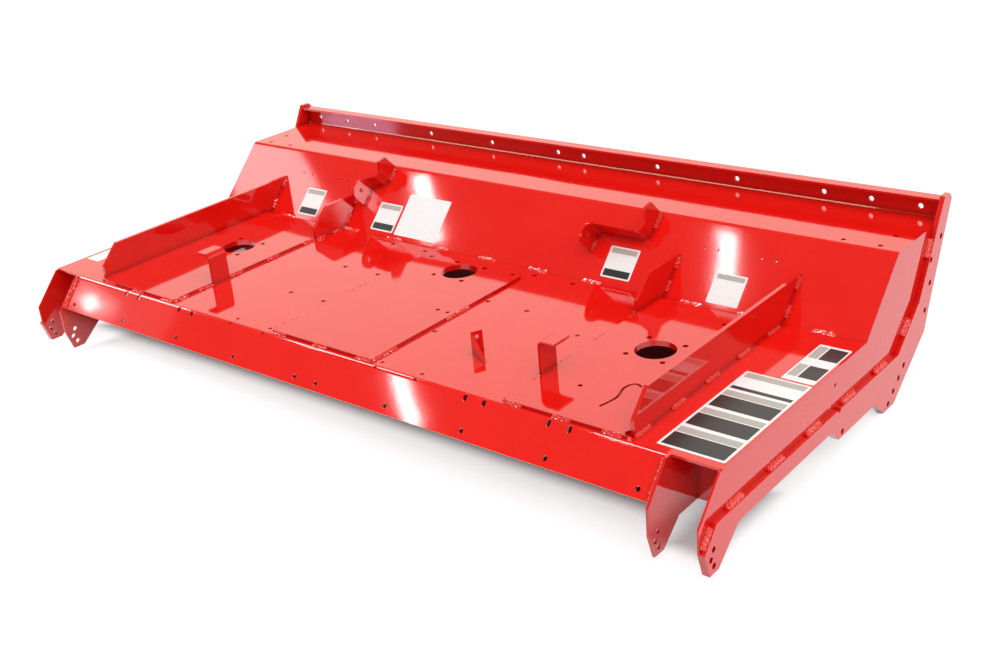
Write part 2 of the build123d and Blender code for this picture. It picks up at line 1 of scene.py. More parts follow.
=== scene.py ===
"""Red welded mower deck on white paper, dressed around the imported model.

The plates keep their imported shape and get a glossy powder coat. The welds are replaced by rippled
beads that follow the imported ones, a strip of paint fills the corner at the top rail's foot, and
plain label films lie on the shelf and on the wall.
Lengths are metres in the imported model's frame unless a name says otherwise.
"""

import bmesh
import bpy
import numpy as np
from mathutils import Matrix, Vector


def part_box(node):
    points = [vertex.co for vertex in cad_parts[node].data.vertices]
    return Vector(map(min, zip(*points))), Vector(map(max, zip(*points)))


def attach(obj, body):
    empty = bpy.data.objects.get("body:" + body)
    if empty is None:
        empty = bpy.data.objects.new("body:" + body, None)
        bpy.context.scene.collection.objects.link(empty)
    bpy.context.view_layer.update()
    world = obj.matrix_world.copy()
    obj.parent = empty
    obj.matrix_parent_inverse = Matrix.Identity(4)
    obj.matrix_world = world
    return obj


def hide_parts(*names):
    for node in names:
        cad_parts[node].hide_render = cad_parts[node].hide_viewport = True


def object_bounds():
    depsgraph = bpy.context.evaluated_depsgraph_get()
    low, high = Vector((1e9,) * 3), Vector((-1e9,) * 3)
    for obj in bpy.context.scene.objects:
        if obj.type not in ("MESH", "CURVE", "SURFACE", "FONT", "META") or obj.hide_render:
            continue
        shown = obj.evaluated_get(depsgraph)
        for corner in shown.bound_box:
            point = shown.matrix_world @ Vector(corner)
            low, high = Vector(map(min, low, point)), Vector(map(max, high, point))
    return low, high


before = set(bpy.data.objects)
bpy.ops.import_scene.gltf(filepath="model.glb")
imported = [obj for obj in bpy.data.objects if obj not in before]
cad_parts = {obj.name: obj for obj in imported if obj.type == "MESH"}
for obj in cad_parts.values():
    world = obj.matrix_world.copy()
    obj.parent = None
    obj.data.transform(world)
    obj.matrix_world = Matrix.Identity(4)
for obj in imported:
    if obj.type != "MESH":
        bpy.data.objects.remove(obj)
cad_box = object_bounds()

# The photograph's frame and its camera, with angles in degrees
PHOTO_WIDTH = 1000
FOCAL_PIXELS = 1287.864
SENSOR_MM = 36.0
CAMERA_PLACE = (1.78948, -1.91399, 1.22661)
CAMERA_BEARING = 41.00874
CAMERA_DIP = 24.51652
CAMERA_ROLL = -5.19295
CAMERA_NEAR = 0.01
CAMERA_FAR = 200.0

# Powder coat: waves of the sheet, patches of thin and thick film, and painted shade in the corners
SHEET_WAVE_MM = 240
SHEET_WAVE_HEIGHT = 0.0009
COAT_PATCH_MM = 90
COAT_IOR = 1.6
# Painted shade: the dark red that the coat is mixed towards in corners and crevices
PAINTED_CORNER_SHADE = "#8E0605"
CORNER_SHADE_SAMPLES = 8
PLATE_COAT = {
    "name": "red_powder_coat",
    "thin": "#D9120D",
    "thick": "#E41B12",
    "peel_mm": 7.0,
    "peel_height": 0.00002,
    "roughness": 0.06,
    "shade_corner_mm": 14,
}
# On the welds the reds are painted paler, as a sheen for the light that the rough beads scatter
BEAD_COAT = {
    "name": "red_powder_coat_on_weld",
    "thin": "#E0251E",
    "thick": "#EA362D",
    "peel_mm": 3.0,
    "peel_height": 0.00014,
    "roughness": 0.09,
    "shade_corner_mm": 2.5,
}

# Vinyl film: ink and roughness of each colour, and the uneven surface that they share
VINYLS = {"white": ("#F1F1EF", 0.28), "grey": ("#B4AFA6", 0.3), "charcoal": ("#2B2B2C", 0.3)}
VINYL_IOR = 1.5
VINYL_GRAIN_MM = 9
VINYL_GRAIN_HEIGHT = 0.00004
VINYL_DARKEST = 0.93

# Ripples of the welds: one hump for each step of the torch, with uneven steps
RIPPLE_PITCH = 0.0085
RIPPLE_HEIGHT = 0.55
RIPPLE_BOW = 0.6
RIPPLE_JITTER = 0.30
JITTER_PITCH = 0.009
JITTER_TURN = 1.7
HUMP_MEAN = 0.64

# The torch wanders as it goes: a short swing that a long one makes stronger and weaker
BEAD_WANDER = 0.22
WANDER_SHORT = 0.0023
WANDER_LONG = 0.011
SHORT_TURN = 2.3
SHORT_LEAN = 3
LONG_LEAN = 2

# Section of a bead, as shares of its legs or of its run, and its grid
BEAD_CROWN = 0.10
BEAD_TAPER = 0.06
BEAD_TIP = 0.05
BEAD_ROOT = 0.1
BEAD_STEPS = 150
BEAD_ARC = 12
WELD_INSIDE = 0.0002
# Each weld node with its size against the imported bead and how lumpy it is
WELD_NODES = {
    "wall_welds": (1.0, 1.0),
    "rail_welds": (1.0, 1.0),
    "plate_welds": (1.0, 1.0),
    "side_welds": (1.45, 0.4),
    "gusset_welds": (1.0, 1.0),
    "bracket_welds": (1.0, 1.0),
    "leg_welds": (1.0, 1.0),
}
RIPPLES = "_ripples"

# The paint that fills the corner along the foot of the top rail
SEAM_DEEP = 0.0017
SEAM_HIGH = 0.0022
RAIL_SHEET = 0.005

# The slope of the wall, from its foot to the bend under the ledge
WALL_RUN = 0.129
WALL_RISE = 0.131

# Label films: thickness, corner radius, lift of a field above its film, and their grid
FILM = 0.00018
FILM_CORNER = 0.003
FIELD_LIFT = 0.00022
FIELD_CORNER = 0.0012
FILM_TURNS = 48
FILM_RINGS = (1.0, 1.0, 0.5, 0.02)

# Fields of a film: ink, then left, low, right and high as shares of the film
SHELF_FIELDS = (
    *(("charcoal", 0.04, 0.25 * k + 0.02, 0.96, 0.25 * k + 0.165) for k in range(3)),
    *(("grey", 0.04, 0.25 * k + 0.175, 0.96, 0.25 * k + 0.235) for k in range(4)),
    ("charcoal", 0.04, 0.765, 0.96, 0.80),
)
PAIR_FIELDS = (
    ("charcoal", 0.38, 0.11, 0.95, 0.43),
    ("grey", 0.05, 0.11, 0.33, 0.43),
    ("charcoal", 0.38, 0.62, 0.95, 0.95),
    ("grey", 0.05, 0.62, 0.33, 0.95),
)
FOOT_FIELDS = (("charcoal", 0.06, 0.05, 0.94, 0.27), ("grey", 0.06, 0.79, 0.94, 0.95))
HEAD_FIELDS = (("grey", 0.06, 0.80, 0.94, 0.95),)
# Films on the shelf: distance from the end and from the wall's foot, end, width, depth, fields
SHELF_FILMS = {
    "shelf_right": (0.132, 0.507, 1, 0.127, 0.299, SHELF_FIELDS),
    "shelf_pair": (0.069, 0.202, 1, 0.063, 0.155, PAIR_FIELDS),
    "shelf_left": (0.010, 0.448, -1, 0.045, 0.080, ()),
}
# Films on the wall: place along it, rise up its slope, width, height, fields
WALL_FILMS = {
    "wall_far_left": (-0.634, 0.013, 0.067, 0.074, FOOT_FIELDS),
    "wall_left": (-0.375, 0.013, 0.072, 0.073, FOOT_FIELDS),
    "wall_sheet_left": (-0.296, 0.011, 0.130, 0.108, ()),
    "wall_right": (0.301, 0.018, 0.073, 0.072, FOOT_FIELDS),
    "wall_far_right": (0.560, 0.011, 0.071, 0.067, HEAD_FIELDS),
}

# The room: even matt light, and what the gloss mirrors, a white sweep under a dim room
AMBIENT = 0.57
WHITE = 1.0
SWEEP_MIRRORED = 1.35
SWEEP_WHITE = "#FFFDF0"
ROOM_MIRRORED = 0.24
SWEEP_LEAN = 0.25
SWEEP_TOP = (0.36, 0.50)

# The floor: white paper with a glow that fades where the object closes off the sky
FLOOR_SPAN = 40.0
FLOOR_GLOW = 0.72
FLOOR_GLOW_MIRRORED = 1.0
FLOOR_SHADE_REACH = 0.45
FLOOR_SHADE = (0.0, 0.25)
FLOOR_SHADE_SAMPLES = 16
PAPER = "#A0A0A0"
# Painted shadow: the dark paper tone that the floor takes deep under the deck
PAINTED_SHADOW_PAPER = "#5A2422"
# Shadows painted on the floor under the deck, in the left bore's view and in the right wheel
# pocket: along X and then along Y where it starts, is full, begins to fade and ends, and how deep
# it is
PAINTED_FLOOR_SHADOWS = (
    ((-0.95, -0.80, 0.67, 0.76), (-0.36, -0.29, 0.375, 0.475), 1.0),
    ((-1.22, -1.03, -0.86, -0.78), (-0.02, 0.17, 0.25, 0.44), 0.75),
    ((0.77, 0.82, 0.85, 0.90), (-0.43, -0.38, -0.20, -0.15), 0.6),
)

# Lamps: directions are bearing from -Y towards +X and height above the floor, in degrees
KEY_STRENGTH = 2.2
KEY_SPREAD = 75.0
KEY_WAY = (56.0, 64.0)
LAMP_DISTANCE = 4.0
FAR_LAMP = 14.0
# Soft square lamps for matt surfaces: the pieces that each one lights, and its power in watts
FILLS = (
    {
        "name": "fill_skirt",
        "lights": ("deck_sheet",),
        "spot": (0.2, -0.44, 0.12),
        "way": (10.0, 14.0),
        "distance": 3.0,
        "side": 1.5,
        "power": 17.0,
    },
    {
        "name": "fill_right",
        "lights": ("end_panel_right", "side_plate_right"),
        "spot": (0.91, 0.0, 0.2),
        "way": (75.0, 25.0),
        "distance": 2.5,
        "side": 1.2,
        "power": 13.0,
    },
    {
        "name": "fill_wall",
        "lights": ("wall_sheet",),
        "spot": (0.2, 0.2, 0.25),
        "way": (10.0, 12.0),
        "distance": 3.2,
        "side": 1.5,
        "power": 9.0,
    },
    {
        "name": "fill_floor",
        "lights": ("floor",),
        "spot": (-0.6, -0.6, 0.0),
        "way": (-30.0, 40.0),
        "distance": 1.6,
        "side": 1.0,
        "power": 25.0,
    },
)
# Strips that the gloss mirrors: both ends as seen from a spot of the object, the strip's width in
# degrees and its radiance. A strip that names pieces shines on them alone.
STRIPS = (
    {
        "name": "streak_wall_left",
        "spot": (-0.24, 0.19, 0.25),
        "first": (-66.5, 43.3),
        "last": (-60.0, 41.9),
        "width": 1.15,
        "radiance": 26,
    },
    {
        "name": "streak_wall_right",
        "spot": (0.57, 0.19, 0.25),
        "first": (-53.6, 54.3),
        "last": (-46.6, 51.2),
        "width": 1.25,
        "radiance": 26,
    },
    {
        "name": "streak_skirt",
        "spot": (0.26, -0.43, 0.15),
        "first": (-53.8, 35.4),
        "last": (-48.8, 33.9),
        "width": 1.0,
        "radiance": 26,
    },
    {
        "name": "glow_skirt_left",
        "spot": (-0.721, -0.445, 0.135),
        "first": (-64.5, 25.9),
        "last": (-63.3, 25.9),
        "width": 1.0,
        "radiance": 16,
    },
    {
        "name": "halo_skirt_left",
        "spot": (-0.721, -0.445, 0.135),
        "first": (-65.4, 25.4),
        "last": (-62.4, 26.4),
        "width": 2.2,
        "radiance": 1.6,
    },
    {
        "name": "glow_wall_left",
        "spot": (-0.75, 0.19, 0.25),
        "first": (-77.0, 35.5),
        "last": (-63.0, 37.0),
        "width": 6.0,
        "radiance": 5.0,
    },
    {
        "name": "softbox_right",
        "lights": ("wall_sheet", "lift_bracket_left"),
        "spot": (-0.44, 0.15, 0.26),
        "first": (63.8, 39.8),
        "last": (67.0, 39.8),
        "width": 1.7,
        "radiance": 60,
        "distance": FAR_LAMP,
    },
    {
        "name": "line_fold_left",
        "lights": ("deck_sheet",),
        "spot": (-0.63, -0.4075, 0.176),
        "first": (-94.6, 33.0),
        "last": (-96.3, 41.3),
        "width": 9,
        "radiance": 16,
    },
    {
        "name": "line_fold",
        "lights": ("deck_sheet",),
        "spot": (0.085, -0.4075, 0.176),
        "first": (-96.5, 42.2),
        "last": (-99.1, 51.6),
        "width": 9,
        "radiance": 18,
    },
    {
        "name": "line_fold_right",
        "lights": ("deck_sheet",),
        "spot": (0.74, -0.4075, 0.176),
        "first": (-101.0, 56.8),
        "last": (-103.8, 62.3),
        "width": 10,
        "radiance": 20,
    },
    {
        "name": "ceiling",
        "lights": tuple(node + RIPPLES for node in WELD_NODES),
        "spot": (0.0, 0.0, 0.2),
        "first": (-150.0, 79.0),
        "last": (-40.0, 79.0),
        "width": 20,
        "radiance": 36,
    },
    {
        "name": "glow_side_welds",
        "lights": ("side_welds" + RIPPLES,),
        "spot": (0.91, 0.0, 0.2),
        "first": (70.0, 30.0),
        "last": (104.0, 30.0),
        "width": 30,
        "radiance": 4.5,
    },
    {
        "name": "line_rail_foot",
        "lights": ("rail_foot_seam",),
        "spot": (0.0, 0.42, 0.31),
        "first": (-62.0, 33.5),
        "last": (-31.0, 50.3),
        "width": 9.0,
        "radiance": 6,
        "distance": FAR_LAMP,
        "tint": "#FFEBCB",
    },
    {
        "name": "glow_web_left",
        "lights": ("wall_sheet",),
        "spot": (-0.77, 0.42, 0.32),
        "first": (-49.5, 14.5),
        "last": (-43.5, 15.0),
        "width": 5.0,
        "radiance": 11,
        "tint": "#D8D4FF",
    },
    {
        "name": "sheen_skirt_left",
        "lights": ("deck_sheet",),
        "spot": (-0.55, -0.44, 0.14),
        "first": (-67.0, 24.0),
        "last": (-60.5, 28.5),
        "width": 7.0,
        "radiance": 0.45,
    },
)


def linear(code):
    """An sRGB hex colour as linear RGBA: each channel is put through the sRGB curve."""
    channels = np.array([int(code[i : i + 2], 16) for i in (1, 3, 5)]) / 255
    low = channels / 12.92
    high = ((channels + 0.055) / 1.055) ** 2.4
    return (*np.where(channels <= 0.04045, low, high).tolist(), 1.0)


def add(tree, kind, inputs, **settings):
    """One shader node with its settings; an input is a plain value or the socket that feeds it."""
    made = tree.nodes.new(kind)
    for name, value in settings.items():
        setattr(made, name, value)
    for name, value in inputs.items():
        if isinstance(value, bpy.types.NodeSocket):
            tree.links.new(value, made.inputs[name])
        else:
            made.inputs[name].default_value = value
    return made


def new_material(name):
    """A material without nodes, and its node tree."""
    material = bpy.data.materials.new(name)
    material.use_nodes = True
    material.node_tree.nodes.clear()
    return material, material.node_tree


def powder_coat(name, thin, thick, peel_mm, peel_height, roughness, shade_corner_mm):
    """Polyester powder coat, sprayed and baked on steel: a deep red under a clear mirror gloss.

    The eye sees red with painted shade in the corners, mirrored white and red, and highlights that
    wander a little, because the sheet is not flat and the coat has orange peel. Real peel is 1 to
    3 mm across and is drawn coarser on the plates so that it shows. On the welds the coat is
    rougher, and its red is painted paler as a sheen for the light that the rough beads scatter.
    """
    material, tree = new_material(name)
    place = add(tree, "ShaderNodeTexCoord", {}).outputs["Object"]
    sheet_wave = add(
        tree,
        "ShaderNodeTexNoise",
        {"Vector": place, "Scale": 1000 / SHEET_WAVE_MM, "Detail": 1.0},
    )
    peel = add(
        tree, "ShaderNodeTexNoise", {"Vector": place, "Scale": 1000 / peel_mm, "Detail": 2.0}
    )
    bent = add(
        tree,
        "ShaderNodeBump",
        {"Height": sheet_wave.outputs["Fac"], "Strength": 1.0, "Distance": SHEET_WAVE_HEIGHT},
    )
    peeled = add(
        tree,
        "ShaderNodeBump",
        {
            "Height": peel.outputs["Fac"],
            "Strength": 1.0,
            "Distance": peel_height,
            "Normal": bent.outputs["Normal"],
        },
    )
    # Painted shade: ambient occlusion darkens the red in corners and crevices, where shade falls
    corner = add(
        tree,
        "ShaderNodeAmbientOcclusion",
        {"Distance": shade_corner_mm / 1000},
        samples=CORNER_SHADE_SAMPLES,
    )
    film = add(
        tree,
        "ShaderNodeTexNoise",
        {"Vector": place, "Scale": 1000 / COAT_PATCH_MM, "Detail": 3.0},
    )
    red = add(
        tree,
        "ShaderNodeMix",
        {"Factor": film.outputs["Fac"], "A": linear(thin), "B": linear(thick)},
        data_type="RGBA",
    )
    colour = add(
        tree,
        "ShaderNodeMix",
        {"Factor": corner.outputs["AO"], "A": linear(PAINTED_CORNER_SHADE), "B": red.outputs["Result"]},
        data_type="RGBA",
    )
    coat = add(
        tree,
        "ShaderNodeBsdfPrincipled",
        {
            "Base Color": colour.outputs["Result"],
            "Roughness": roughness,
            "IOR": COAT_IOR,
            "Normal": peeled.outputs["Normal"],
        },
    )
    add(tree, "ShaderNodeOutputMaterial", {"Surface": coat.outputs["BSDF"]})
    return material


def vinyl_film(name, code, roughness):
    """Printed vinyl film: an even ink under a satin surface that is faintly uneven."""
    material, tree = new_material(name)
    place = add(tree, "ShaderNodeTexCoord", {}).outputs["Object"]
    grain = add(tree, "ShaderNodeTexNoise", {"Vector": place, "Scale": 1000 / VINYL_GRAIN_MM})
    uneven = add(
        tree,
        "ShaderNodeBump",
        {"Height": grain.outputs["Fac"], "Strength": 1.0, "Distance": VINYL_GRAIN_HEIGHT},
    )
    dark = tuple(channel * VINYL_DARKEST for channel in linear(code)[:3]) + (1.0,)
    ink = add(
        tree,
        "ShaderNodeMix",
        {"Factor": grain.outputs["Fac"], "A": dark, "B": linear(code)},
        data_type="RGBA",
    )
    film = add(
        tree,
        "ShaderNodeBsdfPrincipled",
        {
            "Base Color": ink.outputs["Result"],
            "Roughness": roughness,
            "IOR": VINYL_IOR,
            "Normal": uneven.outputs["Normal"],
        },
    )
    add(tree, "ShaderNodeOutputMaterial", {"Surface": film.outputs["BSDF"]})
    return material


def add_piece(name, points, faces, material, smooth):
    """A mesh object at the origin from whole arrays of points and faces."""
    mesh = bpy.data.meshes.new(name)
    mesh.from_pydata(points.reshape(-1, 3).tolist(), [], faces)
    mesh.polygons.foreach_set("use_smooth", [smooth] * len(mesh.polygons))
    mesh.materials.append(material)
    mesh.update()
    piece = bpy.data.objects.new(name, mesh)
    bpy.context.scene.collection.objects.link(piece)
    return piece


def packed_beads(node):
    """The corner points of each separate solid of a packed weld node.

    Equal points become one, and each triangle takes the lowest label among the triangles that it
    shares an edge with, until nothing changes, so every solid ends with a label of its own. Two
    beads that meet at a corner share an edge of four triangles, which joins nothing.
    """
    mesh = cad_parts[node].data
    points = np.empty(3 * len(mesh.vertices))
    mesh.vertices.foreach_get("co", points)
    corners = np.empty(len(mesh.loops), dtype=np.int64)
    mesh.loops.foreach_get("vertex_index", corners)
    points, merged = np.unique(points.reshape(-1, 3).round(6), axis=0, return_inverse=True)
    triangles = merged.reshape(-1)[corners].reshape(-1, 3)
    sides = np.sort(triangles[:, [0, 1, 1, 2, 2, 0]].reshape(-1, 2), axis=1)
    _, edge, uses = np.unique(sides, axis=0, return_inverse=True, return_counts=True)
    edge = edge.reshape(-1)
    joins = uses[edge] == 2
    owner = np.repeat(np.arange(len(triangles)), 3)[joins]
    edge = edge[joins]
    label = np.arange(len(triangles))
    changed = True
    while changed:
        lowest = np.full(len(uses), len(triangles))
        np.minimum.at(lowest, edge, label[owner])
        fresh = label.copy()
        np.minimum.at(fresh, owner, lowest[edge])
        changed = bool((fresh != label).any())
        label = fresh
    return [points[np.unique(triangles[label == one])] for one in np.unique(label)]


def bead_corner(points):
    """Root of a packed bead, its two legs and its run.

    The run is the first principal direction. In the section where it starts, the two points that
    lie furthest apart are the feet, and the point furthest from the line between them is the root.
    """
    middle = points.mean(axis=0)
    ahead = np.linalg.svd(points - middle)[2][0]
    reach = (points - middle) @ ahead
    section = points[reach < 0]
    gaps = np.linalg.norm(section[:, None] - section[None], axis=2)
    first, last = np.unravel_index(gaps.argmax(), gaps.shape)
    span = section[last] - section[first]
    away = section - section[first]
    away = away - np.outer(away @ span / (span @ span), span)
    root = section[np.linalg.norm(away, axis=1).argmax()]
    return root, section[first] - root, section[last] - root, ahead * np.ptp(reach)


def tube_faces(count, steps, ring):
    """Quads round and along many closed tubes of points, with a flat cap on both ends of each."""
    index = np.arange(count * steps * ring).reshape(count, steps, ring)
    turn = np.roll(index, -1, axis=2)
    quads = np.stack([index[:, :-1], turn[:, :-1], turn[:, 1:], index[:, 1:]], axis=-1)
    caps = np.concatenate([index[:, 0, ::-1], index[:, -1]])
    return quads.reshape(-1, 4).tolist() + caps.tolist()


def rippled_beads(corners, lumps):
    """Surfaces of many beads at once, as points (bead, step, ring) and faces.

    Along the run s and round the crown v from foot to foot, a point is root + run * s + the legs
    turned into each other, (1 - v) * leg_a + v * leg_b, pushed out to a round crown. Its reach is
    scaled by a row of humps |sin| that bow forwards in the middle, by a slow wander of the torch
    and by a taper that closes both ends. The ring ends at the root, inside the plates.
    """
    root, leg_a, leg_b, run = (np.array(part)[:, None, None, :] for part in zip(*corners))
    s = np.linspace(0, 1, BEAD_STEPS)[None, :, None]
    v = np.linspace(0, 1, BEAD_ARC)[None, None, :]
    bead = np.arange(len(corners))[:, None, None]
    middle = 4 * v * (1 - v)
    run_on = s * np.linalg.norm(run, axis=3)
    jitter = RIPPLE_JITTER * np.sin(run_on / JITTER_PITCH + bead * JITTER_TURN)
    phase = run_on / RIPPLE_PITCH + RIPPLE_BOW * middle + jitter
    humps = np.abs(np.sin(np.pi * phase)) - HUMP_MEAN
    ripple = RIPPLE_HEIGHT * humps * np.sin(np.pi * v) ** 0.5
    swing = np.sin(run_on / WANDER_SHORT + bead * SHORT_TURN + SHORT_LEAN * v)
    wander = swing * np.sin(run_on / WANDER_LONG + bead + LONG_LEAN * v)
    ends = np.minimum(s, 1 - s) / BEAD_TAPER
    taper = np.sqrt(np.clip(ends * (2 - ends), BEAD_TIP**2, 1)) * (ends < 1) + (ends >= 1)
    reach = taper * (1 + lumps * (ripple + BEAD_WANDER * wander)) * (1 + BEAD_CROWN * middle)
    arm = ((1 - v)[..., None] * leg_a + v[..., None] * leg_b) * reach[..., None]
    centre = root + run * s[..., None]
    inside = centre - BEAD_ROOT * (leg_a + leg_b) * taper[..., None]
    ring = np.concatenate([centre + arm, inside], axis=2)
    return ring, tube_faces(len(corners), BEAD_STEPS, BEAD_ARC + 1)


def outward(piece):
    """Turn every face of a closed mesh outwards."""
    work = bmesh.new()
    work.from_mesh(piece.data)
    bmesh.ops.recalc_face_normals(work, faces=work.faces)
    work.to_mesh(piece.data)
    work.free()


def add_welds(material):
    """A rippled bead over every packed bead, one piece for each weld node.

    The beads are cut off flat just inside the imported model's box.
    """
    low, high = np.array(cad_box)
    pieces = []
    for node, (size, lumps) in WELD_NODES.items():
        corners = [bead_corner(points) for points in packed_beads(node)]
        corners = [(root, leg_a * size, leg_b * size, run) for root, leg_a, leg_b, run in corners]
        points, faces = rippled_beads(corners, lumps)
        points = np.clip(points, low + WELD_INSIDE, high - WELD_INSIDE)
        piece = add_piece(node + RIPPLES, points, faces, material, True)
        outward(piece)
        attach(piece, "root")
        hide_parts(node)
        pieces.append(piece)
    return pieces


def add_seam(material):
    """A three-sided strip of paint in the corner between the ledge and the top rail.

    Its section is a triangle on the corner, carried along the whole rail.
    """
    rail_low, rail_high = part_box("top_rail")
    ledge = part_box("wall_sheet")[1].z
    web = rail_high.y - RAIL_SHEET
    section = np.array([[web, ledge], [web - SEAM_DEEP, ledge], [web, ledge + SEAM_HIGH]])
    ends = np.array([rail_low.x, rail_high.x])
    points = np.empty((2, 3, 3))
    points[..., 0] = ends[:, None]
    points[..., 1:] = section
    seam = add_piece("rail_foot_seam", points, tube_faces(1, 2, 3), material, False)
    outward(seam)
    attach(seam, "root")
    return seam


def film_patch(origin, across, up, lift, corner):
    """A thin film with round corners on a flat face, as points (ring, turn) and faces.

    The edge is a rounded rectangle: a point on a circle of the corner radius, moved out to the
    corner that it belongs to. Rings shrink it from the plate up to the film's edge and then to the
    middle.
    """
    width = np.linalg.norm(across)
    height = np.linalg.norm(up)
    normal = np.cross(across, up) / (width * height)
    turn = np.linspace(0, 2 * np.pi, FILM_TURNS, endpoint=False) + np.pi / FILM_TURNS
    side = np.stack([np.sign(np.cos(turn)), np.sign(np.sin(turn))], axis=1)
    half = np.array([width, height]) / 2
    edge = side * (half - corner) + corner * np.stack([np.cos(turn), np.sin(turn)], axis=1)
    shrink = np.array(FILM_RINGS)[:, None, None]
    heights = np.array([0.0, lift, lift, lift])[:, None, None]
    flat = edge[None] * shrink
    axes = np.stack([across / width, up / height])
    middle = origin + (across + up) / 2
    points = middle + flat @ axes + heights * normal
    index = np.arange(points.shape[0] * points.shape[1]).reshape(points.shape[:2])
    after = np.roll(index, -1, axis=1)
    quads = np.stack([index[:-1], after[:-1], after[1:], index[1:]], axis=-1).reshape(-1, 4)
    return points, quads.tolist() + [index[-1].tolist(), index[0, ::-1].tolist()]


def up_wall():
    """The unit vector up the slope of the wall."""
    return np.array([0, WALL_RUN, WALL_RISE]) / np.hypot(WALL_RUN, WALL_RISE)


def shelf_corner(from_end, behind_fold, side):
    """A point on top of the deck, measured from one end and from the wall's foot line."""
    low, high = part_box("deck_sheet")
    edge = high.x if side > 0 else low.x
    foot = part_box("wall_sheet")[0].y
    return np.array([edge - side * from_end, foot - behind_fold, high.z])


def wall_corner(place, rise):
    """A point on the face of the wall, so far up its slope."""
    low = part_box("wall_sheet")[0]
    return np.array([place, low.y, low.z]) + up_wall() * rise


def add_film(name, origin, across, up, lift, corner, material):
    """One film or field as a piece of the object."""
    points, faces = film_patch(origin, across, up, lift, corner)
    film = add_piece(name, points, faces, material, False)
    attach(film, "root")


def add_labels(vinyls):
    """Plain white films with grey and charcoal fields: three on the shelf, five on the wall."""
    along = np.array([1.0, 0, 0])
    back = np.array([0, 1.0, 0])
    plans = [
        (name, shelf_corner(from_end, behind, side), along * width, back * depth, fields)
        for name, (from_end, behind, side, width, depth, fields) in SHELF_FILMS.items()
    ]
    plans += [
        (name, wall_corner(place, rise), along * width, up_wall() * height, fields)
        for name, (place, rise, width, height, fields) in WALL_FILMS.items()
    ]
    for name, origin, across, up, fields in plans:
        add_film("film_" + name, origin, across, up, FILM, FILM_CORNER, vinyls["white"])
        for k, (ink, left, low, right, high) in enumerate(fields):
            corner = origin + across * left + up * low
            sides = (across * (right - left), up * (high - low))
            lift = FILM + FIELD_LIFT
            add_film(f"field_{name}_{k}", corner, *sides, lift, FIELD_CORNER, vinyls[ink])


def direction(bearing, height):
    """A unit vector: bearing in degrees from -Y towards +X, and height above the floor."""
    b, h = np.radians([bearing, height])
    return np.array([np.sin(b) * np.cos(h), -np.cos(b) * np.cos(h), np.sin(h)])


def facing(back, side):
    """A rotation whose Z axis points along back and whose X axis leans to side."""
    z = back / np.linalg.norm(back)
    x = side - (side @ z) * z
    x = x / np.linalg.norm(x)
    return np.stack([x, np.cross(z, x), z], axis=1)


def put(thing, turn, place):
    """Stand a lamp or a camera at a place with a rotation."""
    matrix = np.eye(4)
    matrix[:3, :3] = turn
    matrix[:3, 3] = place
    thing.matrix_world = Matrix(matrix.tolist())
    bpy.context.scene.collection.objects.link(thing)
    return thing


def add_key():
    """One broad lamp above and to the right, too wide to leave a hard shadow or a mirror image."""
    lamp = bpy.data.lights.new("key", "SUN")
    lamp.energy = KEY_STRENGTH
    lamp.angle = np.radians(KEY_SPREAD)
    key = bpy.data.objects.new("key", lamp)
    key.visible_glossy = False
    way = direction(*KEY_WAY)
    return put(key, facing(way, np.array([1.0, 0, 0])), way)


def add_fill(name, spot, way, distance, side, power):
    """A square soft lamp for matt surfaces alone, which leaves no mirror image."""
    lamp = bpy.data.lights.new(name, "AREA")
    lamp.shape = "SQUARE"
    lamp.size = side
    lamp.energy = power
    fill = bpy.data.objects.new(name, lamp)
    fill.visible_camera = False
    fill.visible_glossy = False
    back = direction(*way)
    return put(fill, facing(back, np.array([0, 0, 1.0])), np.array(spot) + back * distance)


def add_strip(
    name, spot, first, last, width, radiance, distance=LAMP_DISTANCE, tint="#FFFFFF"
):
    """A strip light that a spot of the object mirrors.

    Its two ends lie in the given directions from the spot, at one distance; its power is the
    radiance times pi times its area.
    """
    ends = np.array([direction(*first), direction(*last)]) * distance
    lamp = bpy.data.lights.new(name, "AREA")
    lamp.shape = "RECTANGLE"
    lamp.size = np.linalg.norm(ends[1] - ends[0])
    lamp.size_y = np.radians(width) * distance
    lamp.energy = radiance * np.pi * lamp.size * lamp.size_y
    lamp.color = linear(tint)[:3]
    middle = ends.mean(axis=0)
    strip = bpy.data.objects.new(name, lamp)
    strip.visible_camera = False
    strip.visible_diffuse = False
    return put(strip, facing(middle, ends[1] - ends[0]), np.array(spot) + middle)


def shine_on(lamp, receivers):
    """Let a lamp reach only some pieces, as flags on stands keep its light off the others."""
    group = bpy.data.collections.new(lamp.name)
    for piece in receivers:
        group.objects.link(piece)
    lamp.light_linking.receiver_collection = group


def add_lamps(pieces):
    """The key, the soft fills, and the strips that draw the bright streaks and lines."""
    add_key()
    for maker, plans in ((add_fill, FILLS), (add_strip, STRIPS)):
        for plan in plans:
            lamp = maker(**{name: value for name, value in plan.items() if name != "lights"})
            if "lights" in plan:
                shine_on(lamp, [pieces[name] for name in plan["lights"]])


def seen_rays(tree, ray):
    """1 for rays from the camera or through a clear piece, and 0 for all others."""
    seen = add(
        tree,
        "ShaderNodeMath",
        {0: ray.outputs["Is Camera Ray"], 1: ray.outputs["Is Transmission Ray"]},
        operation="MAXIMUM",
    )
    return seen.outputs[0]


